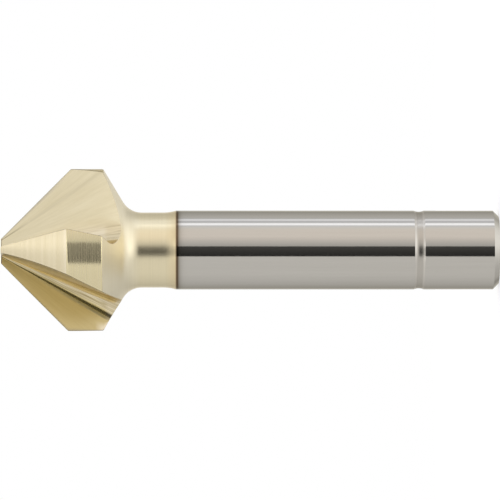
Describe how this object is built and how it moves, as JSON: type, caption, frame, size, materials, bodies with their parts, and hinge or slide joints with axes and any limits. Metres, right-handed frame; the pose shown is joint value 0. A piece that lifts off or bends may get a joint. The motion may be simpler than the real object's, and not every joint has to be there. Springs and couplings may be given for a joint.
{
  "type": "countersink bit",
  "caption": "Countersink bit: conical head with straight chip gaps and relieved teeth, short neck and plain round shank; cuts a tapered seat for a flat screw head.",
  "frame": {"origin": "centre of the flat end of the shank", "axes": "+Z along the bit's axis from the shank end to the tip. -Y faces the side that the picture shows, and +X is the picture's upper edge of the head"},
  "size_m": [0.0204, 0.0197, 0.063],
  "materials": {
    "tool_steel": "ground high-speed steel; the head and neck carry a thin pale gold coating, the shank is bare and bright"
  },
  "bodies": {
    "root": {"countersink_bit": "tool_steel"}
  },
  "joints": []
}
